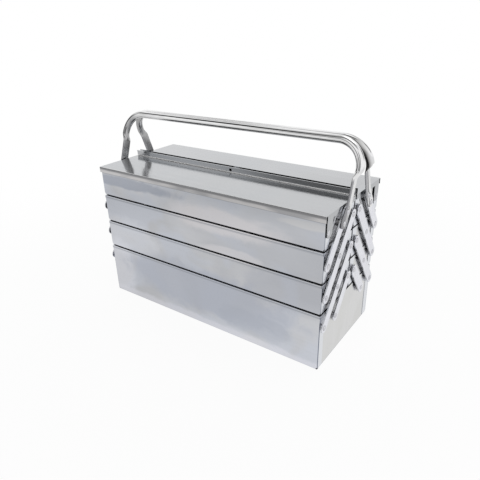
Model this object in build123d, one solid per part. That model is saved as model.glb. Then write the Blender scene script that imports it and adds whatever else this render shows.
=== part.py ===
from build123d import *
from math import atan2, degrees, hypot
import os

# Cantilever tool box in thin stainless sheet: a deep base, three trays a side that swing
# out on parallel arms, a lid over each upper tray and two bent tube handles.
# Millimetres. X runs along the box, Y to the rear, Z up. The origin is the middle of the
# footprint, on the surface that the box stands on. Every part is drawn on the rear right
# (+X, +Y) and mirrored from there.

# Box and trays
box_length = 460.0          # over the end straps
box_width = 200.0           # over the folded rims
sheet = 0.8                 # steel sheet of base, trays and lids
base_height = 101.0
tray_height = 51.0
tier_gap = 2.0              # open line between a rim and the floor above it
centre_gap = 3.0            # between the rims of the front and rear trays
hem_height = 5.0            # rim folded flat against the outside of the wall
hem_thickness = 0.8
floor_bend = 1.5            # outside radius where the floor turns up into a wall
strap_width = 15.0          # wall sheet wrapped round the corner onto the end panel
strap_bend = 1.2
foot_depth = 10.0           # spot-welded foot of an end panel, inside on the floor
corner_hole_diameter = 3.0  # open relief where floor, wall and strap meet
corner_hole_rise = 2.0
corner_hole_inset = 1.0

# Arms and their pivots, in three columns a side and one row a tier
outer_pivot_inset = 8.0     # outer pivot column to the rim of the box
inner_pivot_y = 12.0        # inner pivot column to the middle of the box
pivot_drop = 23.0           # rim to pivot row
arm_width = 17.0
arm_thickness = 2.0
arm_standoff = 2.5          # end strap to the back of an arm
axial_play = 0.1            # each side of an arm
rivet_diameter = 5.0
pivot_clearance = 0.05      # radial, arm or lid on its rivet
hole_clearance = 0.02       # radial, sheet round a tight rivet
rivet_head_diameter = 9.0
rivet_head_rise = 1.8
rivet_tail_diameter = 8.0
rivet_tail_height = 1.2
fixing_tail_height = 0.6    # flat tail behind a top arm, clear of the lid
washer_diameter = 10.0

# Handles
tube_diameter = 12.7
grip_gap = 0.6              # between the two grips, side by side
grip_rise = 83.0            # lid top to the axis of a grip
grip_bend = 40.0            # centre line radius
flat_thickness = 2.8
flat_width = 17.0
groove_radius = 5.0         # valley pressed along the outside of a flattened end
groove_depth = 1.0
fixing_pitch = 18.0         # tray pivot to the fixing rivet above it
kink_rise = 6.0             # fixing rivet to the kink of the flattened end
neck_length = 13.0          # flat blends into round
neck_straight = 0.5         # round tube between neck and bend

# Lids
lid_top_gap = 2.2           # upper rim to the underside of a lid
lid_side_gap = 0.6          # box to the inside of a lid's lips
lid_centre_gap = 7.0        # between the two upstands
lid_lip = 10.0
lid_end_lip = 8.0
lid_bend = 1.5
upstand_height = 10.0
upstand_hem = 2.5
upstand_bend = 2.2          # outside radius where the top turns up
ear_width = 17.0
ear_slit = 3.6              # open corner between an ear and the lip
lid_pivot_inset = 9.0
lid_pivot_drop = 25.0
lid_rivet_head_rise = 1.4
lid_corner_slit = 3.4       # relief at the corner of an upper tray, behind the ear
padlock_hole_diameter = 6.0
padlock_hole_drop = 5.55    # top of the upstand to the middle of the hole, between hem and bend

# Places worked out from the sizes above
tier_pitch = tray_height + tier_gap
half_length = box_length / 2
half_width = box_width / 2
outer_pivot_y = half_width - outer_pivot_inset
pivot_spacing = (outer_pivot_y - inner_pivot_y) / 2
strap_face_x = half_length
panel_face_x = half_length - sheet
panel_back_x = half_length - 2 * sheet
arm_back_x = strap_face_x + arm_standoff
arm_face_x = arm_back_x + arm_thickness
flat_back_x = arm_face_x
flat_face_x = flat_back_x + flat_thickness
tube_x = flat_back_x + tube_diameter / 2
grip_y = (tube_diameter + grip_gap) / 2
rivet_radius = rivet_diameter / 2
base_level, lower_level, middle_level, upper_level = range(4)
outer, middle, inner = range(3)


def rim_z(level):
    return base_height + level * tier_pitch


def floor_z(level):
    return rim_z(level) - tray_height if level else 0.0


def pivot(level, column):
    """Y and Z of a pivot on the rear side."""
    return outer_pivot_y - column * pivot_spacing, rim_z(level) - pivot_drop


lid_top_z = rim_z(upper_level) + lid_top_gap + sheet
lid_pivot = (half_width - lid_pivot_inset, rim_z(upper_level) - lid_pivot_drop)
grip_z = lid_top_z + grip_rise
handle_pivot = pivot(upper_level, middle)
arm_rise = hypot(pivot_spacing, tier_pitch)
arm_lean = (-pivot_spacing / arm_rise, tier_pitch / arm_rise)

# Each arm: the levels that it starts and ends at, and the pivot column that it starts in
arms = {
    "lower_arm": (base_level, lower_level, middle),
    "main_arm": (base_level, middle_level, outer),
    "upper_arm": (lower_level, upper_level, outer),
    "handle_arm": (middle_level, upper_level, outer),
}
tray_names = {lower_level: "lower_tray", middle_level: "middle_tray", upper_level: "upper_tray"}


def along(start, direction, distance):
    return start[0] + direction[0] * distance, start[1] + direction[1] * distance


def end_section(shape, x0, x1):
    """A sketch of Y and Z, made solid between two X planes."""
    return extrude(Plane(origin=(x0, 0, 0), x_dir=(0, 1, 0), z_dir=(1, 0, 0)) * shape, amount=x1 - x0)


def rectangle(y0, z0, y1, z1):
    return Pos((y0 + y1) / 2, (z0 + z1) / 2) * Rectangle(y1 - y0, z1 - z0)


def bar(start, end, width):
    """Round-ended strip from one centre to another."""
    turn = degrees(atan2(end[1] - start[1], end[0] - start[0]))
    centre = Pos((start[0] + end[0]) / 2, (start[1] + end[1]) / 2)
    return centre * Rot(0, 0, turn) * SlotCenterToCenter(hypot(end[0] - start[0], end[1] - start[1]), width)


def bore(place, radius, x0, x1):
    """Round cutter along X at a place on the end of the box."""
    return end_section(Pos(*place) * Circle(radius), x0, x1)


def mirror_left(shape):
    return mirror(shape, about=Plane.YZ)


def mirror_front(shape):
    return mirror(shape, about=Plane.XZ)


# Sheet metal

def tray_section(y0, y1, z0, z1):
    """Floor and two walls of bent sheet, with each rim folded outwards."""
    wall0, wall1 = y0 + hem_thickness, y1 - hem_thickness
    outside = rectangle(wall0, z0, wall1, z1)
    outside = fillet(outside.vertices().group_by(Axis.Y)[0], floor_bend)
    inside = rectangle(wall0 + sheet, z0 + sheet, wall1 - sheet, z1 + sheet)
    inside = fillet(inside.vertices().group_by(Axis.Y)[0], floor_bend - sheet)
    section = outside - inside
    for hem in (rectangle(y0, z1 - hem_height, wall0, z1), rectangle(wall1, z1 - hem_height, y1, z1)):
        section += hem
    rim_corners = section.vertices().group_by(Axis.X)[0] + section.vertices().group_by(Axis.X)[-1]
    return fillet(rim_corners, hem_thickness / 2)


def strap(y_wall, inward, z0, z1):
    """Edge of a wall wrapped onto the end panel; inward is +1 or -1 along Y."""
    low, high = sorted((y_wall, y_wall + inward * strap_width))
    plate = end_section(rectangle(low, z0 + floor_bend, high, z1), panel_face_x, strap_face_x)
    fold = plate.edges().filter_by(Axis.Z).group_by(Axis.X)[-1].sort_by(Axis.Y)[0 if inward > 0 else -1]
    return fillet(fold, strap_bend / 2)


def shell(y0, y1, z0, z1, holes):
    """Floor, walls and corner straps of the base or of a tray, as one sheet."""
    wall0, wall1 = y0 + hem_thickness, y1 - hem_thickness
    body = end_section(tray_section(y0, y1, z0, z1), -panel_face_x, panel_face_x)
    for y_wall, inward in ((wall0, 1), (wall1, -1)):
        piece = strap(y_wall, inward, z0, z1)
        body += piece
        body += mirror_left(piece)
    for relief in corner_reliefs(y0, y1, z0):
        body -= relief
        body -= mirror_left(relief)
    return drill(body, holes)


def corner_reliefs(y0, y1, z0):
    """Cutters for the two lower corners of an end, through strap, wall edge and panel."""
    places = [(y0 + hem_thickness + corner_hole_inset, z0 + corner_hole_rise),
              (y1 - hem_thickness - corner_hole_inset, z0 + corner_hole_rise)]
    return [bore(place, corner_hole_diameter / 2, panel_back_x, strap_face_x) for place in places]


def drill(body, holes):
    for place in holes:
        cutter = bore(place, rivet_radius + hole_clearance, panel_back_x - sheet, strap_face_x + sheet)
        body -= cutter
        body -= mirror_left(cutter)
    return body


def end_panel(y0, y1, z0, z1, holes):
    """Flat end between the walls, with a foot on the floor and a hem between the straps."""
    in0, in1 = y0 + hem_thickness + sheet, y1 - hem_thickness - sheet
    plate = rectangle(in0, z0 + sheet, in1, z1)
    plate = fillet(plate.vertices().group_by(Axis.Y)[0], floor_bend)
    panel = end_section(plate, panel_back_x, panel_face_x)
    foot = rectangle(in0 + floor_bend, z0 + sheet, in1 - floor_bend, z0 + 2 * sheet)
    panel += end_section(foot, panel_back_x - foot_depth, panel_back_x)
    strap_inset = hem_thickness + strap_width
    hem = rectangle(y0 + strap_inset, z1 - hem_height, y1 - strap_inset, z1)
    panel += end_section(hem, panel_face_x, strap_face_x)
    for relief in corner_reliefs(y0, y1, z0):
        panel -= relief
    for place in holes:
        panel -= bore(place, rivet_radius + hole_clearance, panel_back_x - sheet, strap_face_x + sheet)
    return panel


# Rivets and washers

def rivet(place, back_x, head_x, head_rise, tail_height=rivet_tail_height):
    """Along X: tail behind back_x, shank, and a domed head over head_x."""
    head_radius = rivet_head_diameter / 2
    dome_radius = (head_radius ** 2 + head_rise ** 2) / (2 * head_rise)
    body = bore((0, 0), rivet_tail_diameter / 2, back_x - tail_height, back_x)
    body += bore((0, 0), rivet_radius, back_x, head_x)
    dome = Pos(head_x + head_rise - dome_radius, 0, 0) * Rot(0, 90, 0) * Sphere(dome_radius)
    body += dome & bore((0, 0), head_radius, head_x, head_x + 2 * head_rise)
    return Pos(0, *place) * body


def sheet_face_x(place, y0, y1):
    """Outer face of the end at a pivot: the strap, or the panel between the straps."""
    strap_inset = hem_thickness + strap_width - washer_diameter / 2
    return strap_face_x if min(place[0] - y0, y1 - place[0]) < strap_inset else panel_face_x


def washer(place, face_x):
    ring = Circle(washer_diameter / 2) - Circle(rivet_radius + hole_clearance)
    return end_section(Pos(*place) * ring, face_x, arm_back_x - axial_play)


def both_ends(solids):
    return list(solids) + [mirror_left(solid) for solid in solids]


# Arms, lids and handles

def arm(name):
    first, last, column = arms[name]
    holes = [pivot(level, column + level - first) for level in range(first, last + 1)]
    reach = list(holes)
    if name == "handle_arm":
        reach[-1] = along(holes[-1], arm_lean, fixing_pitch)
    body = end_section(bar(reach[0], reach[-1], arm_width), arm_back_x, arm_face_x)
    for place in holes:
        body -= bore(place, rivet_radius + pivot_clearance, arm_back_x, arm_face_x)
    if name == "handle_arm":
        body -= bore(reach[-1], rivet_radius + hole_clearance, arm_back_x, arm_face_x)
    return body


def round_corner(section, place, radius):
    """Fillet at the corner of a sketch that lies at a place."""
    return fillet(section.vertices().sort_by_distance(place)[0], radius)


def lid():
    """Top sheet with an upstand along the middle, a lip outside, end lips and pivot ears."""
    y_in = lid_centre_gap / 2
    y_out = half_width + lid_side_gap + sheet
    x_in = half_length + lid_side_gap
    x_out = x_in + sheet
    outside = rectangle(y_in, lid_top_z - lid_lip, y_out, lid_top_z)
    outside = fillet(outside.vertices().group_by(Axis.Y)[-1].sort_by(Axis.X)[-1], lid_bend)
    under = rectangle(y_in - sheet, lid_top_z - lid_lip - sheet, y_out - sheet, lid_top_z - sheet)
    under = fillet(under.vertices().group_by(Axis.Y)[-1].sort_by(Axis.X)[-1], lid_bend - sheet)
    section = outside - under
    section += rectangle(y_in, lid_top_z - sheet, y_in + sheet, lid_top_z + upstand_height)
    section = round_corner(section, (y_in, lid_top_z - sheet), upstand_bend)
    section = round_corner(section, (y_in + sheet, lid_top_z), upstand_bend - sheet)
    section += rectangle(y_in + sheet, lid_top_z + upstand_height - upstand_hem,
                         y_in + 2 * sheet, lid_top_z + upstand_height)
    body = end_section(section, -x_out, x_out)

    ear_y = half_width - ear_slit
    end_lip = rectangle(y_in, lid_top_z - lid_end_lip, ear_y, lid_top_z)
    ear_radius = ear_width / 2
    ear_centre = (ear_y - ear_radius, lid_pivot[1])
    ear = rectangle(ear_y - ear_width, lid_pivot[1], ear_y, lid_top_z)
    ear += Pos(*ear_centre) * Circle(ear_radius)
    side = end_section(end_lip + ear, x_in, x_out)
    side -= bore(lid_pivot, rivet_radius + pivot_clearance, x_in, x_out)
    body += side
    body += mirror_left(side)

    hole_z = lid_top_z + upstand_height - padlock_hole_drop
    hole = Pos(0, y_in + sheet, hole_z) * Rot(90, 0, 0) * Cylinder(padlock_hole_diameter / 2, 4 * sheet)
    return body - hole


def handle():
    """Bent tube whose two ends are pressed flat, kinked and riveted over the top arms."""
    fixing = along(handle_pivot, arm_lean, fixing_pitch)
    kink = along(fixing, arm_lean, kink_rise)
    leg_length = hypot(grip_y - kink[0], grip_z - kink[1])
    leg = ((grip_y - kink[0]) / leg_length, (grip_z - kink[1]) / leg_length)
    round_start = leg_length - grip_bend - neck_straight
    flat_end = along(kink, leg, round_start - neck_length)

    flat = bar(handle_pivot, kink, flat_width) + Pos(*kink) * Circle(flat_width / 2)
    turn = degrees(atan2(leg[1], leg[0]))
    flat_run = round_start - neck_length
    flat += (Pos(*along(kink, leg, flat_run / 2)) * Rot(0, 0, turn)
             * Rectangle(flat_run, flat_width))
    end = end_section(flat, flat_back_x, flat_face_x)
    end -= bore(handle_pivot, rivet_radius + pivot_clearance, flat_back_x, flat_face_x)
    end -= bore(fixing, rivet_radius + hole_clearance, flat_back_x, flat_face_x)

    flat_x = (flat_back_x + flat_face_x) / 2
    up = (0, leg[0], leg[1])
    flat_plane = Plane(origin=(flat_x, *flat_end), x_dir=(1, 0, 0), z_dir=up)
    round_plane = Plane(origin=(tube_x, *along(kink, leg, round_start)), x_dir=(1, 0, 0), z_dir=up)
    neck = loft([flat_plane * Rectangle(flat_thickness, flat_width),
                 round_plane * Circle(tube_diameter / 2)])

    loop_plane = Plane(origin=(0, grip_y, grip_z), x_dir=(1, 0, 0), z_dir=(0, -leg[1], leg[0]))
    leg_drop = leg_length - round_start
    corners = [(-tube_x, -leg_drop), (-tube_x, 0), (tube_x, 0), (tube_x, -leg_drop)]
    centre_line = loop_plane * FilletPolyline(*corners, radius=grip_bend)
    start = Plane(origin=centre_line @ 0, z_dir=centre_line % 0)
    tube = sweep(start * Circle(tube_diameter / 2), path=centre_line)
    leg_end = neck + end - groove(along(kink, leg, flat_width / 2), flat_end)
    return tube + leg_end + mirror_left(leg_end)


def groove(start, end):
    """Round-ended cutter for the valley in the outside of a flattened end."""
    axis_x = flat_face_x + groove_radius - groove_depth
    length = hypot(end[0] - start[0], end[1] - start[1])
    along_leg = Plane(origin=(axis_x, *start), z_dir=(0, end[0] - start[0], end[1] - start[1]))
    cutter = extrude(along_leg * Circle(groove_radius), amount=length)
    return cutter + Pos(axis_x, *start) * Sphere(groove_radius) + Pos(axis_x, *end) * Sphere(groove_radius)


# Nodes

nodes = {}


def add(side, name, solids):
    """Keep a node; the front ones are the rear ones mirrored."""
    pieces = [mirror_front(solid) for solid in solids] if side == "front" else solids
    nodes[f"{side}_{name}" if side else name] = pieces


def base_nodes():
    span = (-half_width, half_width)
    rear = [pivot(0, outer), pivot(0, middle)]
    holes = rear + [(-y, z) for y, z in rear]
    right_end = end_panel(*span, floor_z(0), rim_z(0), holes)
    add("", "base_shell", [shell(*span, floor_z(0), rim_z(0), holes)])
    add("", "base_right_end", [right_end])
    add("", "base_left_end", [mirror_left(right_end)])
    head_x = arm_face_x + axial_play
    add("", "base_rivets", both_ends([rivet(place, panel_back_x, head_x, rivet_head_rise) for place in holes]))
    add("", "base_washers", both_ends([washer(place, sheet_face_x(place, *span)) for place in holes]))


def tray_nodes(side, level):
    name = tray_names[level]
    span = (centre_gap / 2, half_width)
    heights = (floor_z(level), rim_z(level))
    top = level == upper_level
    columns = (middle, inner) if top else (outer, middle, inner)
    pivots = [pivot(level, column) for column in columns]
    holes = pivots + [lid_pivot] if top else pivots
    body = shell(*span, *heights, holes)
    if top:
        wall = half_width - hem_thickness
        slit = end_section(rectangle(wall - sheet - lid_corner_slit, lid_pivot[1] - ear_width / 4,
                                     wall - sheet, rim_z(level) - hem_height), panel_face_x, strap_face_x)
        body = body - slit - mirror_left(slit)
    right_end = end_panel(*span, *heights, holes)
    add(side, name + "_shell", [body])
    add(side, name + "_right_end", [right_end])
    add(side, name + "_left_end", [mirror_left(right_end)])
    rivets = []
    for column, place in zip(columns, pivots):
        over_handle = top and column == middle
        head_x = (flat_face_x if over_handle else arm_face_x) + axial_play
        rivets.append(rivet(place, panel_back_x, head_x, rivet_head_rise))
    add(side, name + "_rivets", both_ends(rivets))
    add(side, name + "_washers", both_ends([washer(place, sheet_face_x(place, *span)) for place in pivots]))


def lid_nodes(side):
    add(side, "lid", [lid()])
    head_x = half_length + lid_side_gap + sheet + axial_play
    add(side, "lid_rivets", both_ends([rivet(lid_pivot, panel_back_x, head_x, lid_rivet_head_rise)]))


def arm_nodes(side):
    for name in arms:
        right = arm(name)
        add(side, "right_" + name, [right])
        add(side, "left_" + name, [mirror_left(right)])


def handle_nodes(side):
    place = along(handle_pivot, arm_lean, fixing_pitch)
    fixing = rivet(place, arm_back_x, flat_face_x, rivet_head_rise, fixing_tail_height)
    add(side, "handle", [handle()])
    add(side, "handle_rivets", both_ends([fixing]))


base_nodes()
for side in ("front", "rear"):
    for level in tray_names:
        tray_nodes(side, level)
    arm_nodes(side)
    lid_nodes(side)
    handle_nodes(side)

os.makedirs("parts", exist_ok=True)
for name, solids in nodes.items():
    shape = solids[0] if len(solids) == 1 else Compound(children=[Part() + solid for solid in solids])
    export_step(shape, f"parts/{name}.step")
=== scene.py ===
from math import cos, exp, pi, radians, sin

import bmesh
import bpy
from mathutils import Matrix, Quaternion, Vector


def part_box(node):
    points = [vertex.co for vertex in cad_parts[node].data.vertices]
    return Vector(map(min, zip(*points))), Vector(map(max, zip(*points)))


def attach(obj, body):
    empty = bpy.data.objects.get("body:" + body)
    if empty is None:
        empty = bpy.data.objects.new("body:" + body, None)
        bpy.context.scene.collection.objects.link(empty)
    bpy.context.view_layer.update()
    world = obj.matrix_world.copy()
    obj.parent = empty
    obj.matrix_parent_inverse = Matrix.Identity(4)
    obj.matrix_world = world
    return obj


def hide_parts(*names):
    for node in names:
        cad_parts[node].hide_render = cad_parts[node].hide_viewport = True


# The looks of a cantilever tool box in bright stainless sheet. Metres, in the CAD part's frame:
# X along the box, Y to the rear, Z up.

# Camera, as in the photograph
CAMERA_PLACE = (0.47753, -0.64245, 0.50599)
CAMERA_AZIMUTH = 35.8111
CAMERA_ELEVATION = 25.1587
CAMERA_ROLL = -1.3998
SENSOR_WIDTH = 36.0
LENS = 35.245

# Stage
FLOOR_SIZE = 40.0
FLOOR_LIFT = 0.94           # how far the floor is lifted to its paper tone
SHADE_HEADING = (-0.59, -0.81)
SHADE_SPAN = 1.4            # metres that the stops below cover, from the middle of the box
FLOOR_SHADE = [(0.0, 0.84), (0.10, 0.72), (0.20, 0.72), (0.36, 0.76), (0.46, 0.68), (0.56, 0.62),
               (0.7, 0.80)]
FLOOR_CLEARS = (0.35, 1.1)  # distances between which the floor's tone fades to plain white

# Soft key lamp, high above the box
KEY_PLACE = (0.3, 0.6, 2.4)
KEY_TARGET = (0, 0, 0.15)
KEY_SIZE = 1.2
KEY_POWER = 5.0

# Dark strips of the studio that bright metal shows: heading and half width in degrees,
# lowest and highest elevation in degrees, and how much light is left
FLAGS = [
    (-145.0, 25.0, 30.0, 57.0, 0.04),
    (-100.0, 62.0, 58.0, 84.0, 0.25),
    (-106.0, 16.0, 10.0, 26.0, 0.24),
    (147.0, 9.0, 38.0, 50.0, 0.15),
    (124.0, 36.0, -14.0, 3.0, 0.06),
    (54.0, 14.0, 10.0, 38.0, 0.15),
    (178.0, 13.0, -14.0, 18.0, 0.10),
    (-160.0, 18.0, -5.0, 24.0, 0.15),
    (-75.0, 8.0, -20.0, 45.0, 0.12),
]

# Sheet metal
SHEET = 0.0008
RIM_TOP = 0.260             # rim of the upper trays
TIER_PITCH = 0.053          # from one tier's rim to the next
BASE_RIM = 0.101
HEM_HEIGHT = 0.005
LID_RISE = 0.003            # top of the lids above the rim of the upper trays
LID_SHADOW = 0.034          # the wall is darker from here below the top of a lid
LIP_EDGE = 0.0108           # lower edge of a lid's lip, below its top

# Tones of the sheet metal, most of them painted shade and painted light, as marked
# Painted shade: a dark line 3 mm below each rim
CREASE_SHADE_TONE = (0.34, 0.36, 0.40)
# Painted shade: a dark line at the foot of each hem
HEM_FOOT_SHADE_TONE = (0.38, 0.40, 0.44)
LID_SHADOW_TONE = (0.44, 0.46, 0.50)
LIP_SHADOW_TONE = (0.36, 0.37, 0.40)
# Painted light: the straps paler than the walls
STRAP_LIGHT_TONE = (0.80, 0.82, 0.86)
# Painted shade along the corners
CORNER_SHADE_TONE = (0.12, 0.14, 0.20)
INSIDE_TONE = (0.90, 0.91, 0.93)
# Painted shade: near black at the relief holes and behind the open corner slits
SLIT_SHADE_TONE = (0.02, 0.02, 0.03)

# Handle tube, pressed flat at its ends
TUBE_RADIUS = 0.00635
GRIP_BEND = 0.040
FLAT_WIDTH = 0.017
FLAT_THICKNESS = 0.0028
KINK_RISE = 0.006
NECK_LENGTH = 0.013
NECK_STRAIGHT = 0.0005
NOTCH_LENGTH = 0.006        # the pressed valley runs this far into the round tube
GROOVE_DEPTH = 0.0019
GROOVE_WIDTH = 0.0016
TUBE_SIDES = 48
BEND_STEPS = 24
EDGE_BREAK = 0.0003         # bevel of the sheared arms

# Soft patches on the long walls, painted reflections and painted shade: middle along X and Z,
# half length, half height, colour and share
PAINTED_REFLECTION_PATCHES = [
    ((0.140, 0.200), (0.130, 0.050), (0.58, 0.60, 0.65), 0.45),
    ((0.045, 0.212), (0.105, 0.022), (0.84, 0.81, 0.82), 0.60),
    ((-0.175, 0.240), (0.125, 0.010), (0.42, 0.45, 0.52), 0.80),
    ((0.070, 0.160), (0.060, 0.011), (0.84, 0.82, 0.84), 0.55),
    ((0.205, 0.243), (0.045, 0.006), (0.80, 0.79, 0.78), 0.60),
    ((-0.180, 0.130), (0.080, 0.040), (0.84, 0.86, 0.92), 0.45),
    ((0.180, 0.125), (0.090, 0.030), (0.55, 0.57, 0.63), 0.50),
    ((-0.215, 0.060), (0.045, 0.060), (0.88, 0.89, 0.95), 0.55),
    ((0.000, 0.070), (0.180, 0.046), (0.55, 0.58, 0.66), 0.75),
    ((0.110, 0.040), (0.070, 0.024), (0.50, 0.53, 0.60), 0.45),
    ((0.000, 0.000), (0.400, 0.014), (0.88, 0.88, 0.95), 0.50),
]


# Node helpers

def new_material(name):
    material = bpy.data.materials.new(name)
    material.use_nodes = True
    tree = material.node_tree
    tree.nodes.clear()
    return material, tree, tree.nodes.new("ShaderNodeOutputMaterial")


def join(tree, value, socket):
    """A link from another node's output, or a plain number or colour."""
    if isinstance(value, bpy.types.NodeSocket):
        tree.links.new(value, socket)
    elif isinstance(value, tuple) and socket.type == "RGBA" and len(value) == 3:
        socket.default_value = (*value, 1.0)
    else:
        socket.default_value = value


def ramp(tree, factor, stops):
    """Colour ramp; a stop is a place and a grey value or a colour."""
    node = tree.nodes.new("ShaderNodeValToRGB")
    band = node.color_ramp
    for i, (place, value) in enumerate(stops):
        stop = band.elements[i] if i < 2 else band.elements.new(place)
        stop.position = place
        stop.color = (*value, 1.0) if isinstance(value, tuple) else (value, value, value, 1.0)
    tree.links.new(factor, node.inputs[0])
    return node.outputs["Color"]


def calculate(tree, operation, *values):
    node = tree.nodes.new("ShaderNodeMath")
    node.operation = operation
    for value, socket in zip(values, node.inputs):
        join(tree, value, socket)
    return node.outputs[0]


def step_between(tree, value, low, high):
    """Smooth rise from 0 at low to 1 at high."""
    node = tree.nodes.new("ShaderNodeMapRange")
    node.interpolation_type = "SMOOTHSTEP"
    join(tree, value, node.inputs["Value"])
    node.inputs["From Min"].default_value = low
    node.inputs["From Max"].default_value = high
    return node.outputs["Result"]


def mix(tree, factor, first, second, blend="MIX"):
    node = tree.nodes.new("ShaderNodeMix")
    node.data_type = "RGBA"
    node.blend_type = blend
    join(tree, factor, node.inputs[0])
    join(tree, first, node.inputs[6])
    join(tree, second, node.inputs[7])
    return node.outputs[2]


def noise(tree, place, cells, detail=2.0, roughness=0.5, swirl=0.0):
    """Noise over the frame's own metres, with so many cells in a metre along each axis."""
    mapping = tree.nodes.new("ShaderNodeMapping")
    mapping.inputs["Scale"].default_value = cells
    tree.links.new(place, mapping.inputs["Vector"])
    texture = tree.nodes.new("ShaderNodeTexNoise")
    texture.inputs["Scale"].default_value = 1.0
    texture.inputs["Detail"].default_value = detail
    texture.inputs["Roughness"].default_value = roughness
    texture.inputs["Distortion"].default_value = swirl
    tree.links.new(mapping.outputs["Vector"], texture.inputs["Vector"])
    return texture.outputs["Fac"]


def bump(tree, height, distance, strength=1.0, over=None):
    node = tree.nodes.new("ShaderNodeBump")
    node.inputs["Strength"].default_value = strength
    node.inputs["Distance"].default_value = distance
    tree.links.new(height, node.inputs["Height"])
    if over is not None:
        tree.links.new(over, node.inputs["Normal"])
    return node.outputs["Normal"]


# Materials

def scaled(colour, share):
    return tuple(share * c for c in colour)


def steel(name, colour, tint, roughness, grain, clouds=(5.0, 5.0, 7.0), wave=0.0004,
          scratch=0.15, clouding=0.12, shade=None, gap_reach=0.0045, gap_share=None):
    """Bright stainless steel: rolled grain, soft clouds, a tint in places and a wavy face.

    shade takes the tree, the place, the colour and the roughness, and gives the last two back
    with their changes from place to place. Gaps narrower than about gap_reach get painted shade;
    gap_share takes the tree and the place, and says by how much.
    """
    material, tree, output = new_material(name)
    shader = tree.nodes.new("ShaderNodeBsdfPrincipled")
    shader.inputs["Metallic"].default_value = 1.0
    tree.links.new(shader.outputs[0], output.inputs["Surface"])
    place = tree.nodes.new("ShaderNodeTexCoord").outputs["Object"]

    cloud = noise(tree, place, clouds, 3.0, swirl=0.8)
    patch = noise(tree, place, scaled(clouds, 1.7), 2.0, swirl=0.8)
    lines = noise(tree, place, grain, 3.0, 0.6)
    speckle = noise(tree, place, (900.0, 900.0, 900.0), 1.0)

    darker = scaled(colour, 1 - clouding)
    base = mix(tree, ramp(tree, cloud, [(0.40, 0.0), (0.58, 1.0)]), darker, colour)
    base = mix(tree, ramp(tree, patch, [(0.46, 0.0), (0.60, 0.8)]), base, tint)
    base = mix(tree, ramp(tree, lines, [(0.40, 0.0), (0.62, scratch)]), base, scaled(colour, 0.5))

    rough = ramp(tree, lines, [(0.3, 0.8 * roughness), (0.7, 1.25 * roughness)])
    spots = ramp(tree, speckle, [(0.45, 0.0), (0.65, 0.4)])
    rough = mix(tree, spots, rough, (1.6 * roughness,) * 3)
    if shade:
        base, rough = shade(tree, place, base, rough)
    # Painted shade in narrow gaps
    if gap_reach:
        share = gap_share(tree, place) if gap_share else 1.0
        base = mix(tree, share, base, painted_gap_shade(tree, gap_reach), "MULTIPLY")
    tree.links.new(base, shader.inputs["Base Color"])
    tree.links.new(rough, shader.inputs["Roughness"])

    swell = bump(tree, noise(tree, place, scaled(clouds, 2.2), 1.0), wave)
    tree.links.new(bump(tree, lines, 0.00002, 0.12, swell), shader.inputs["Normal"])
    return material


def painted_gap_shade(tree, reach):
    """Factor of painted shade that darkens narrow gaps between sheets, as behind the arms and
    under the lips.
    """
    node = tree.nodes.new("ShaderNodeAmbientOcclusion")
    node.samples = 4
    node.inputs["Distance"].default_value = reach
    return ramp(tree, node.outputs["AO"], [(0.42, 0.02), (0.58, 1.0)])


def signed(tree, place, axis):
    split = tree.nodes.new("ShaderNodeSeparateXYZ")
    tree.links.new(place, split.inputs[0])
    return split.outputs[axis]


def coordinate(tree, place, axis):
    """Distance from the middle along an axis."""
    return calculate(tree, "ABSOLUTE", signed(tree, place, axis))


def facing(tree, axis):
    """How far a face looks along an axis of its own piece, from -1 to 1."""
    return signed(tree, tree.nodes.new("ShaderNodeTexCoord").outputs["Normal"], axis)


def band(tree, value, middle, half_width):
    """1 along a line at a value, falling to 0 at half a width from it."""
    off = calculate(tree, "ABSOLUTE", calculate(tree, "SUBTRACT", value, middle))
    return step_between(tree, off, half_width, 0.3 * half_width)


def oval(tree, place, middle, reach, waver):
    """1 inside an oval seen along Y, with a soft edge that wavers."""
    mapping = tree.nodes.new("ShaderNodeMapping")
    mapping.inputs["Scale"].default_value = (1 / reach[0], 0.0, 1 / reach[1])
    mapping.inputs["Location"].default_value = (-middle[0] / reach[0], 0.0, -middle[1] / reach[1])
    tree.links.new(place, mapping.inputs["Vector"])
    length = tree.nodes.new("ShaderNodeVectorMath")
    length.operation = "LENGTH"
    tree.links.new(mapping.outputs["Vector"], length.inputs[0])
    distance = calculate(tree, "ADD", length.outputs["Value"], waver)
    return step_between(tree, distance, 1.75, 1.25)


def lowest_gap_fainter(tree, place):
    """The painted shade in the gap between the base and the lower trays is fainter than in those
    above it.
    """
    higher = step_between(tree, coordinate(tree, place, "Z"), BASE_RIM + 0.002, BASE_RIM + 0.011)
    return calculate(tree, "MULTIPLY_ADD", higher, 0.85, 0.15)


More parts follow.
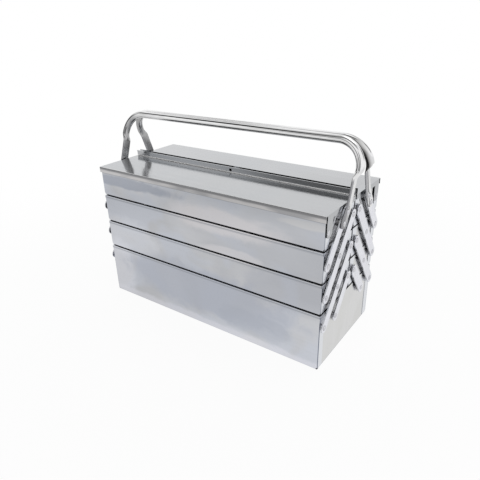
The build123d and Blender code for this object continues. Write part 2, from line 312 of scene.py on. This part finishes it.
def walls_with_painted_light(strap_x, wall_y, lid_top):
    """Painted reflections and shade in patches, painted shade at the hems, lids, lips, corners,
    relief holes and slits, painted light on the straps, and a dull inside.
    """
    def shade(tree, place, base, rough):
        waver = noise(tree, place, (26.0, 26.0, 34.0), 4.0, 0.6, 0.6)
        # Painted reflections and painted shade in soft patches with wavering edges
        for middle, reach, colour, share in PAINTED_REFLECTION_PATCHES:
            patch = oval(tree, place, middle, reach, waver)
            base = mix(tree, calculate(tree, "MULTIPLY", patch, share), base, colour)
        x, y, z = (coordinate(tree, place, axis) for axis in "XYZ")

        under_rim = calculate(tree, "MODULO", calculate(tree, "SUBTRACT", RIM_TOP, z), TIER_PITCH)
        on_wall = step_between(tree, z, BASE_RIM - 0.011, BASE_RIM - 0.007)
        # Painted shade: dark lines 3 mm below each rim and at the foot of each hem
        crease_shade = calculate(tree, "MULTIPLY", on_wall, band(tree, under_rim, 0.0030, 0.0013))
        base = mix(tree, calculate(tree, "MULTIPLY", crease_shade, 0.75), base, CREASE_SHADE_TONE)
        hem_foot_shade = calculate(tree, "MULTIPLY", on_wall, band(tree, under_rim, HEM_HEIGHT, 0.0008))
        base = mix(tree, calculate(tree, "MULTIPLY", hem_foot_shade, 0.60), base, HEM_FOOT_SHADE_TONE)
        under_lid = step_between(tree, z, lid_top - LID_SHADOW, lid_top - 0.010)
        base = mix(tree, calculate(tree, "MULTIPLY", under_lid, 0.35), base, LID_SHADOW_TONE)
        base = mix(tree, band(tree, z, lid_top - LIP_EDGE, 0.0013), base, LIP_SHADOW_TONE)

        # Painted light: the end straps paler than the long walls
        on_end = step_between(tree, x, strap_x - 0.0004, strap_x - 0.0001)
        base = mix(tree, on_end, base, STRAP_LIGHT_TONE)
        # Painted shade: dark lines where the straps meet the walls, and along the corner bends
        # below the base's rim
        corner_shade = calculate(tree, "MULTIPLY", on_end, band(tree, y, wall_y - 0.0004, 0.0018))
        base = mix(tree, calculate(tree, "MULTIPLY", corner_shade, 0.85), base, CORNER_SHADE_TONE)
        bend_shade = calculate(tree, "MULTIPLY",
                         step_between(tree, x, strap_x - 0.0010, strap_x - 0.0006),
                         step_between(tree, y, wall_y - 0.0012, wall_y - 0.0008))
        bend_shade = calculate(tree, "MULTIPLY", bend_shade,
                         step_between(tree, z, BASE_RIM - 0.007, BASE_RIM - 0.015))
        base = mix(tree, calculate(tree, "MULTIPLY", bend_shade, 0.75), base, CORNER_SHADE_TONE)

        # Painted shade: near black at the relief holes of the bottom corners and behind the corner
        # slits under the lids
        corner = calculate(tree, "MULTIPLY",
                           step_between(tree, x, strap_x - 0.0030, strap_x - 0.0022),
                           step_between(tree, y, wall_y - 0.0034, wall_y - 0.0026))
        relief_shade = calculate(tree, "MULTIPLY", corner, step_between(tree, z, 0.0034, 0.0026))
        slit_shade = calculate(tree, "MULTIPLY",
                         step_between(tree, y, wall_y - 0.0040, wall_y - 0.0034),
                         step_between(tree, z, lid_top - LID_SHADOW, lid_top - LID_SHADOW + 0.002))
        slit_shade = calculate(tree, "MULTIPLY", slit_shade, on_end)
        inside = calculate(tree, "MULTIPLY",
                           step_between(tree, y, wall_y - 0.0003, wall_y - 0.0006),
                           step_between(tree, x, strap_x - 0.0012, strap_x - 0.0016))
        base = mix(tree, calculate(tree, "MULTIPLY", inside, 0.7), base, INSIDE_TONE)
        base = mix(tree, calculate(tree, "MAXIMUM", relief_shade, slit_shade), base, SLIT_SHADE_TONE)
        return base, mix(tree, inside, rough, (0.36, 0.36, 0.36))
    return shade


def lid_with_painted_light(lid_top, lip_y):
    """The lip of a lid gets painted reflections and painted shade along its fold; painted
    highlights mark its top edge and the fold at the upstand.
    """
    def shade(tree, place, base, rough):
        y, z = coordinate(tree, place, "Y"), coordinate(tree, place, "Z")
        on_lip = step_between(tree, y, lip_y - 0.0003, lip_y - 0.0001)
        fold_shade = step_between(tree, z, lid_top - 0.0060, lid_top - 0.0025)
        # Painted reflections in blotches on the lip, with painted shade towards its fold
        blotch = noise(tree, place, (14.0, 14.0, 60.0), 2.0)
        blotch = ramp(tree, blotch, [(0.42, 0.0), (0.58, 1.0)])
        lip = mix(tree, blotch, (0.66, 0.65, 0.65), (0.46, 0.46, 0.47))
        lip = mix(tree, fold_shade, lip, (0.27, 0.27, 0.28))
        base = mix(tree, on_lip, base, lip)
        # Painted highlight along the top edge above the lip
        top_edge_highlight = calculate(tree, "MULTIPLY", band(tree, y, lip_y - 0.0010, 0.0009),
                             step_between(tree, z, lid_top - 0.0012, lid_top - 0.0006))
        base = mix(tree, calculate(tree, "MULTIPLY", top_edge_highlight, 0.7), base, (0.85, 0.85, 0.85))
        # Painted highlight along the fold at the upstand, which is also rougher there
        fold_highlight = calculate(tree, "MULTIPLY", band(tree, y, 0.0045, 0.0026),
                         band(tree, z, lid_top + 0.0006, 0.0022))
        base = mix(tree, fold_highlight, base, (0.92, 0.92, 0.92))
        return base, mix(tree, fold_highlight, rough, (0.42, 0.42, 0.42))
    return shade


def pressed_ends(tree, place, base, rough):
    """The ends of a handle: dull where pressed flat, painted shade in the valley and at one edge.

    The back shows painted dark reflections in streaks; the legs show painted reflections of darker
    surroundings at the left end, and at the right end on the rear handle.
    """
    _, pivot, fixing, grip, back_x = handle_places("rear")
    arm = Vector((fixing[0] - pivot[0], fixing[1] - pivot[1]))
    kink = Vector(pivot) + arm * (1 + KINK_RISE / arm.length)
    leg = (Vector(grip) - kink).normalized()
    x, y, z = (coordinate(tree, place, axis) for axis in "XYZ")
    neck_z = grip[1] - (GRIP_BEND + NECK_LENGTH) * leg.y
    pressed = step_between(tree, z, neck_z + 0.003, neck_z - 0.003)
    across = calculate(tree, "MULTIPLY_ADD", calculate(tree, "SUBTRACT", y, kink.x), leg.y,
                       calculate(tree, "MULTIPLY", calculate(tree, "SUBTRACT", z, kink.y), -leg.x))
    outside = step_between(tree, x, back_x + 0.0003, back_x + 0.0006)
    # Painted shade along the pressed valley
    valley = calculate(tree, "MULTIPLY", band(tree, across, 0.0004, 0.0016), outside)
    # Painted dark reflections in streaks on the back of the flattened ends
    streak = noise(tree, place, (400.0, 400.0, 14.0), 2.0)
    back = mix(tree, streak, (0.24, 0.24, 0.25), (0.62, 0.62, 0.62))
    y_signed = signed(tree, place, "Y")
    # Painted shade along one edge of the flattened ends
    frontwards = calculate(tree, "MULTIPLY", across, calculate(tree, "SIGN", y_signed))
    darker = calculate(tree, "MULTIPLY", step_between(tree, frontwards, -0.0025, -0.0050),
                       step_between(tree, y_signed, 0.4, -0.2))
    front = mix(tree, darker, base, (0.22, 0.22, 0.24))
    # The flattened ends: painted dark reflections at the back, painted shade in the valley
    flat = mix(tree, outside, back, mix(tree, valley, front, (0.10, 0.10, 0.11)))
    x_signed = signed(tree, place, "X")
    # Painted reflections of darker surroundings on the left legs
    left_leg_reflection = calculate(tree, "MULTIPLY", step_between(tree, x_signed, -0.205, -0.228), 0.85)
    base = mix(tree, left_leg_reflection, base, mix(tree, streak, (0.22, 0.22, 0.23), (0.52, 0.52, 0.52)))
    # Painted dark reflection on the rear handle's right leg, except on faces that look outwards
    rear_leg_reflection = calculate(tree, "MULTIPLY", step_between(tree, x_signed, 0.200, 0.222),
                         step_between(tree, y_signed, 0.0, 0.001))
    rear_leg_reflection = calculate(tree, "MULTIPLY", rear_leg_reflection,
                         step_between(tree, facing(tree, "X"), 0.95, -0.10))
    base = mix(tree, rear_leg_reflection, base, (0.10, 0.095, 0.09))
    base = mix(tree, pressed, base, flat)
    return base, mix(tree, pressed, rough, (0.24, 0.24, 0.24))


def arm_edge_shade(tree, _, base, rough):
    """Painted shade: the cut edges of the arms are darker than their faces."""
    on_edge = step_between(tree, calculate(tree, "ABSOLUTE", facing(tree, "X")), 0.6, 0.3)
    return mix(tree, on_edge, base, (0.66, 0.67, 0.71)), rough


def finishes():
    """The finish of each kind of piece."""
    rolled = (2.5, 220.0, 220.0)
    spun = (600.0, 600.0, 600.0)
    small = (90.0, 90.0, 90.0)
    lid_top = RIM_TOP + LID_RISE
    shell_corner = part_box("base_shell")[1]
    walls = walls_with_painted_light(shell_corner.x, shell_corner.y - SHEET, lid_top)
    lids = lid_with_painted_light(lid_top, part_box("rear_lid")[1].y)
    return {
        "shell": steel("shell_sheet", (0.72, 0.73, 0.76), (0.67, 0.70, 0.77), 0.13, rolled,
                       clouds=(6.0, 6.0, 8.0), scratch=0.03, clouding=0.13, shade=walls,
                       gap_reach=0.006, gap_share=lowest_gap_fainter),
        "end": steel("end_sheet", (0.73, 0.73, 0.72), (0.75, 0.75, 0.75), 0.10,
                     (220.0, 220.0, 4.0), wave=0.0001, scratch=0.04, clouding=0.05),
        # Painted shade: the lids get a darker copy of the sheet steel's colour
        "lid": steel("lid_sheet", (0.525, 0.535, 0.55), (0.50, 0.515, 0.535), 0.12,
                     (3.0, 260.0, 260.0), wave=0.0002, scratch=0.06, clouding=0.06, shade=lids),
        # Painted light: the arms get a paler copy of the sheet steel's colour
        "arm": steel("arm_steel", (0.92, 0.93, 0.98), (0.88, 0.88, 0.95), 0.20,
                     (200.0, 300.0, 60.0), clouds=(30.0, 30.0, 30.0), wave=0.0001, scratch=0.10,
                     clouding=0.08, shade=arm_edge_shade, gap_reach=0.0),
        "handle": steel("handle_tube", (0.93, 0.93, 0.93), (0.86, 0.86, 0.87), 0.05,
                        (60.0, 400.0, 400.0), clouds=(20.0, 20.0, 20.0), wave=0.00005,
                        scratch=0.10, shade=pressed_ends),
        "rivets": steel("rivet_steel", (0.76, 0.76, 0.79), (0.62, 0.62, 0.67), 0.22, spun,
                        clouds=small, wave=0.00005, gap_reach=0.0),
        "washers": steel("washer_steel", (0.60, 0.60, 0.62), (0.50, 0.50, 0.52), 0.30, spun,
                         clouds=small, wave=0.00005, gap_reach=0.0),
    }


def dress_nodes(frame, materials):
    """Each CAD node takes the finish that its name ends with."""
    for name, node in frame["nodes"].items():
        node.data.materials.clear()
        node.data.materials.append(materials[name.rsplit("_", 1)[-1]])
        if name.endswith("_arm"):
            break_edges(node, EDGE_BREAK)


def break_edges(piece, width):
    bevel = piece.modifiers.new("edge_break", "BEVEL")
    bevel.width = width
    bevel.segments = 2
    bevel.limit_method = "ANGLE"
    bevel.angle_limit = radians(50)
    bevel.harden_normals = False


# Handles

def smooth(t):
    t = max(0.0, min(1.0, t))
    return t * t * (3 - 2 * t)


def handle_places(side):
    """Side, pivot, fixing rivet, grip and back of one handle, read off the CAD nodes.

    The places are distance from the middle along Y, and Z, in metres.
    """
    low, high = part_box(side + "_handle")
    rivets_low, rivets_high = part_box(side + "_handle_rivets")
    sign = -1.0 if side == "front" else 1.0
    outer_y = max(abs(low.y), abs(high.y))
    pivot = (outer_y - FLAT_WIDTH / 2, low.z + FLAT_WIDTH / 2)
    fixing = (abs(rivets_low.y + rivets_high.y) / 2, (rivets_low.z + rivets_high.z) / 2)
    grip = (min(abs(low.y), abs(high.y)) + TUBE_RADIUS, high.z - TUBE_RADIUS)
    return sign, pivot, fixing, grip, high.x - 2 * TUBE_RADIUS


def pressed_point(angle, valley):
    """Across and outwards on the flattened section, whose back is flat on the arm."""
    across = FLAT_WIDTH / 2 * cos(angle)
    side = 1 if sin(angle) > 0 else -1
    outwards = FLAT_THICKNESS / 2 * (1 + side * abs(sin(angle)) ** 0.35)
    if side > 0:
        outwards -= valley * GROOVE_DEPTH * exp(-(across / GROOVE_WIDTH) ** 2)
    return across, outwards


def round_point(angle):
    return TUBE_RADIUS * cos(angle), TUBE_RADIUS * (1 + sin(angle))


def section(angle, rise, run, kink_run):
    """A point of the section: rise is the way from the pivot, run where the round tube starts."""
    valley = smooth((rise - kink_run) / 0.006)
    flat_across, flat_out = pressed_point(angle, valley)
    tube_across, tube_out = round_point(angle)
    middle = max(0.0, 1 - abs(flat_across) / (FLAT_WIDTH / 2)) * max(0.0, sin(angle))
    share = smooth((rise - run + NECK_LENGTH - NOTCH_LENGTH * middle) / NECK_LENGTH)
    narrow = 1.0
    if rise < 0:
        narrow = max(0.0, 1 - (rise / (FLAT_WIDTH / 2)) ** 2) ** 0.5
    return (narrow * (flat_across + share * (tube_across - flat_across)),
            flat_out + share * (tube_out - flat_out))


def handle_rings(side):
    """Rings of points from one end of the tube to the other."""
    sign, pivot, fixing, grip, back_x = handle_places(side)
    arm = Vector((0, fixing[0] - pivot[0], fixing[1] - pivot[1]))
    kink_run = arm.length + KINK_RISE
    arm.normalize()
    kink = Vector((0, *pivot)) + arm * kink_run
    leg = Vector((0, *grip)) - kink
    round_run = kink_run + leg.length - GRIP_BEND - NECK_STRAIGHT
    bend_run = kink_run + leg.length - GRIP_BEND
    leg.normalize()
    outwards = Vector((1, 0, 0))

    runs = [-FLAT_WIDTH / 2 * cos(i * pi / 16) for i in range(8)]
    runs += [0.0, 0.006, 0.012, kink_run - 0.003, kink_run, kink_run + 0.003]
    runs += [kink_run + 0.004 * i for i in range(2, 5)]
    neck_start = round_run - NECK_LENGTH
    steps = int((neck_start - runs[-1]) / 0.003)
    runs += [runs[-1] + (neck_start - runs[-1]) * i / steps for i in range(1, steps)]
    runs += [neck_start + (bend_run - neck_start) * i / 18 for i in range(19)]

    rings = []
    for run in runs:
        turn = smooth((run - kink_run + 0.003) / 0.006)
        along = (arm * (1 - turn) + leg * turn).normalized()
        across = Vector((0, along.z, -along.y))
        if run < kink_run:
            centre = Vector((0, *pivot)) + arm * run
        else:
            centre = kink + leg * (run - kink_run)
        ring = []
        for i in range(TUBE_SIDES):
            a, b = section(2 * pi * i / TUBE_SIDES, run, round_run, kink_run)
            ring.append(centre + across * a + outwards * (back_x + b))
        rings.append(ring)

    across = Vector((0, leg.z, -leg.y))
    turn_centre = kink + leg * (bend_run - kink_run)
    turn_centre += outwards * (back_x + TUBE_RADIUS - GRIP_BEND)
    for i in range(1, BEND_STEPS + 1):
        angle = pi / 2 * i / BEND_STEPS
        radial = outwards * cos(angle) + leg * sin(angle)
        centre = turn_centre + radial * GRIP_BEND
        ring = []
        for k in range(TUBE_SIDES):
            around = 2 * pi * k / TUBE_SIDES
            ring.append(centre + across * TUBE_RADIUS * cos(around)
                        + radial * TUBE_RADIUS * sin(around))
        rings.append(ring)
    last = rings[-1]
    shift = last[0].x
    for i in (0.75, 0.5, 0.25):
        rings.append([Vector((p.x - shift * (1 - i), p.y, p.z)) for p in last])
    rings.append([Vector((p.x - shift, p.y, p.z)) for p in last])
    other_end = [[Vector((-p.x, p.y, p.z)) for p in ring] for ring in reversed(rings[:-1])]
    return [[Vector((p.x, sign * p.y, p.z)) for p in ring] for ring in rings + other_end]


def bent_handle(side, material):
    """The handle as one skin: pressed ends with a valley, a notch and a round bent tube."""
    rings = handle_rings(side)
    mesh = bmesh.new()
    corners = [[mesh.verts.new(p) for p in ring] for ring in rings]
    for one, two in zip(corners, corners[1:]):
        for i in range(TUBE_SIDES):
            j = (i + 1) % TUBE_SIDES
            mesh.faces.new((one[i], one[j], two[j], two[i]))
    mesh.faces.new(corners[0])
    mesh.faces.new(list(reversed(corners[-1])))
    bmesh.ops.remove_doubles(mesh, verts=mesh.verts, dist=0.00001)
    bmesh.ops.recalc_face_normals(mesh, faces=mesh.faces)
    for face in mesh.faces:
        face.smooth = True
    data = bpy.data.meshes.new(side + "_bent_handle")
    mesh.to_mesh(data)
    mesh.free()
    piece = bpy.data.objects.new(side + "_bent_handle", data)
    bpy.context.scene.collection.objects.link(piece)
    data.materials.append(material)
    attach(piece, side + "_handle_arms")
    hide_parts(side + "_handle")
    return piece


# Stage, lamps and camera

def floor():
    half = FLOOR_SIZE / 2
    mesh = bpy.data.meshes.new("floor")
    corners = [(-half, -half, 0), (half, -half, 0), (half, half, 0), (-half, half, 0)]
    mesh.from_pydata(corners, [], [(0, 1, 2, 3)])
    ground = bpy.data.objects.new("floor", mesh)
    bpy.context.scene.collection.objects.link(ground)

    material, tree, output = new_material("paper_floor")
    material.cycles.emission_sampling = "NONE"
    place = tree.nodes.new("ShaderNodeTexCoord").outputs["Object"]
    paper = tree.nodes.new("ShaderNodeBsdfDiffuse")
    fibres = ramp(tree, noise(tree, place, (300.0, 300.0, 300.0), 3.0), [(0.3, 0.90), (0.7, 0.94)])
    tree.links.new(fibres, paper.inputs["Color"])

    heading_x, heading_y = SHADE_HEADING
    away = calculate(tree, "MULTIPLY_ADD", signed(tree, place, "Y"), heading_y,
                     calculate(tree, "MULTIPLY", signed(tree, place, "X"), heading_x))
    path = tree.nodes.new("ShaderNodeLightPath")
    seen_tone = ramp(tree, calculate(tree, "DIVIDE", away, SHADE_SPAN), FLOOR_SHADE)
    glow = tree.nodes.new("ShaderNodeEmission")
    seen_tone = mix(tree, path.outputs["Is Camera Ray"], seen_tone, (1.0, 1.0, 1.0))
    tree.links.new(seen_tone, glow.inputs["Color"])
    lifted = tree.nodes.new("ShaderNodeMixShader")
    mirrored = calculate(tree, "MAXIMUM", path.outputs["Is Glossy Ray"],
                         path.outputs["Is Transmission Ray"])
    seen = calculate(tree, "MAXIMUM", path.outputs["Is Camera Ray"], mirrored)
    reach = tree.nodes.new("ShaderNodeVectorMath")
    reach.operation = "LENGTH"
    tree.links.new(place, reach.inputs[0])
    lift = step_between(tree, reach.outputs["Value"], *FLOOR_CLEARS)
    lift = calculate(tree, "MULTIPLY_ADD", lift, 1 - FLOOR_LIFT, FLOOR_LIFT)
    tree.links.new(calculate(tree, "MULTIPLY", seen, lift), lifted.inputs[0])
    tree.links.new(paper.outputs[0], lifted.inputs[1])
    tree.links.new(glow.outputs[0], lifted.inputs[2])
    sided = tree.nodes.new("ShaderNodeMixShader")
    tree.links.new(tree.nodes.new("ShaderNodeNewGeometry").outputs["Backfacing"], sided.inputs[0])
    tree.links.new(lifted.outputs[0], sided.inputs[1])
    tree.links.new(tree.nodes.new("ShaderNodeBsdfTransparent").outputs[0], sided.inputs[2])
    tree.links.new(sided.outputs[0], output.inputs["Surface"])
    mesh.materials.append(material)


def flag(tree, level_direction, height, heading, half_width, low, high, left):
    """A dark strip of the studio, as a factor on its light."""
    dot = tree.nodes.new("ShaderNodeVectorMath")
    dot.operation = "DOT_PRODUCT"
    tree.links.new(level_direction, dot.inputs[0])
    dot.inputs[1].default_value = (cos(radians(heading)), sin(radians(heading)), 0.0)
    within = step_between(tree, dot.outputs["Value"], cos(radians(1.5 * half_width)),
                          cos(radians(0.6 * half_width)))
    above = step_between(tree, height, sin(radians(low - 2)), sin(radians(low + 2)))
    below = step_between(tree, height, sin(radians(high + 5)), sin(radians(high - 5)))
    shade = calculate(tree, "MULTIPLY", within, calculate(tree, "MULTIPLY", above, below))
    return calculate(tree, "MULTIPLY_ADD", shade, left - 1.0, 1.0)


def studio():
    """White to the camera; to the object, a pale tent with a few darker strips."""
    world = bpy.data.worlds.new("studio")
    bpy.context.scene.world = world
    world.use_nodes = True
    tree = world.node_tree
    tree.nodes.clear()
    output = tree.nodes.new("ShaderNodeOutputWorld")
    direction = tree.nodes.new("ShaderNodeTexCoord").outputs["Generated"]
    height = signed(tree, direction, "Z")
    flat = tree.nodes.new("ShaderNodeCombineXYZ")
    tree.links.new(signed(tree, direction, "X"), flat.inputs[0])
    tree.links.new(signed(tree, direction, "Y"), flat.inputs[1])
    level = tree.nodes.new("ShaderNodeVectorMath")
    level.operation = "NORMALIZE"
    tree.links.new(flat.outputs[0], level.inputs[0])

    light = ramp(tree, calculate(tree, "MULTIPLY_ADD", height, 0.5, 0.5),
                 [(0.0, 0.8), (0.52, 0.97), (0.75, 1.0), (0.92, 0.95), (0.98, 0.6)])
    for heading, half_width, low, high, left in FLAGS:
        dark = flag(tree, level.outputs["Vector"], height, heading, half_width, low, high, left)
        light = mix(tree, 1.0, light, dark, "MULTIPLY")
    tent = tree.nodes.new("ShaderNodeBackground")
    tree.links.new(light, tent.inputs["Color"])
    white = tree.nodes.new("ShaderNodeBackground")
    white.inputs["Color"].default_value = (1.0, 1.0, 1.0, 1.0)
    chosen = tree.nodes.new("ShaderNodeMixShader")
    path = tree.nodes.new("ShaderNodeLightPath")
    tree.links.new(path.outputs["Is Camera Ray"], chosen.inputs[0])
    tree.links.new(tent.outputs[0], chosen.inputs[1])
    tree.links.new(white.outputs[0], chosen.inputs[2])
    tree.links.new(chosen.outputs[0], output.inputs["Surface"])


def soft_lamp(name, place, target, size, power):
    data = bpy.data.lights.new(name, "AREA")
    data.shape = "SQUARE"
    data.size = size
    data.energy = power
    lamp = bpy.data.objects.new(name, data)
    lamp.location = place
    lamp.rotation_mode = "QUATERNION"
    lamp.rotation_quaternion = (Vector(place) - Vector(target)).to_track_quat("Z", "Y")
    bpy.context.scene.collection.objects.link(lamp)


def photo_camera():
    data = bpy.data.cameras.new("camera")
    data.sensor_width = SENSOR_WIDTH
    data.lens = LENS
    camera = bpy.data.objects.new("camera", data)
    azimuth, elevation = radians(CAMERA_AZIMUTH), radians(CAMERA_ELEVATION)
    back = Vector((sin(azimuth) * cos(elevation), -cos(azimuth) * cos(elevation),
                   sin(elevation)))
    camera.location = CAMERA_PLACE
    camera.rotation_mode = "QUATERNION"
    roll = Quaternion((0, 0, 1), radians(CAMERA_ROLL))
    camera.rotation_quaternion = back.to_track_quat("Z", "Y") @ roll
    bpy.context.scene.collection.objects.link(camera)
    bpy.context.scene.camera = camera


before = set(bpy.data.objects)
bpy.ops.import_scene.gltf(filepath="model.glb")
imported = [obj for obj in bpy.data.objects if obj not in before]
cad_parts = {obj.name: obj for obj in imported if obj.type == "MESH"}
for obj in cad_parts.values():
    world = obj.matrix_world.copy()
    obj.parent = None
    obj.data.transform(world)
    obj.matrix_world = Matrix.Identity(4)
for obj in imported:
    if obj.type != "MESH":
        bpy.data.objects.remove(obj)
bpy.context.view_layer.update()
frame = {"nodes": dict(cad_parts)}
bpy.context.scene.view_settings.view_transform = "Standard"

materials = finishes()
dress_nodes(frame, materials)
for side in ("front", "rear"):
    bent_handle(side, materials["handle"])
floor()
studio()
soft_lamp("key_lamp", KEY_PLACE, KEY_TARGET, KEY_SIZE, KEY_POWER)
photo_camera()
